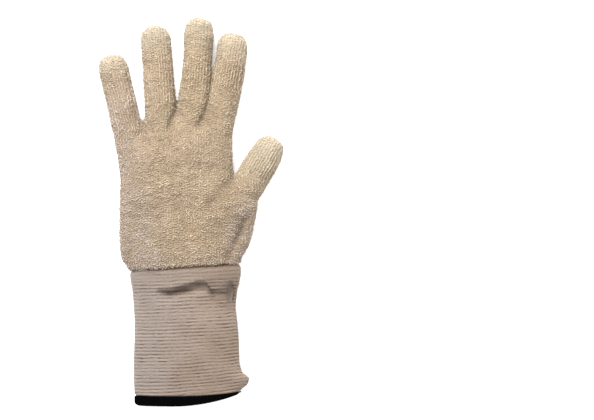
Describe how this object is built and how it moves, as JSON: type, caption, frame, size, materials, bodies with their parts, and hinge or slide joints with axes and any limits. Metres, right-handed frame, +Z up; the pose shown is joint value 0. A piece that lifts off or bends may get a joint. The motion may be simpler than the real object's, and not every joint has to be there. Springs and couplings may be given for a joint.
{
  "type": "heat-resistant terry cloth glove",
  "caption": "Hollow terry cloth work glove with spread fingers and thumb, a long ribbed knit cuff and a black bound hem, lying flat.",
  "frame": {"origin": "on the surface that the glove lies on, under the middle of its bounding box", "axes": "+Z up out of the surface, +Y from the cuff's hem to the fingertips, +X towards the thumb's side"},
  "size_m": [0.1712, 0.3554, 0.034],
  "materials": {
    "terry_cotton": "unbleached loop-pile terry cotton",
    "ribbed_cotton": "ribbed knit, natural cotton with a grey-pink cast",
    "seam_thread": "overlocked natural thread",
    "black_binding": "matt black overlocked edge binding"
  },
  "bodies": {
    "root": {"terry_hand": "terry_cotton", "knit_cuff": "ribbed_cotton", "side_seam": "seam_thread", "hem_binding": "black_binding"}
  },
  "joints": []
}
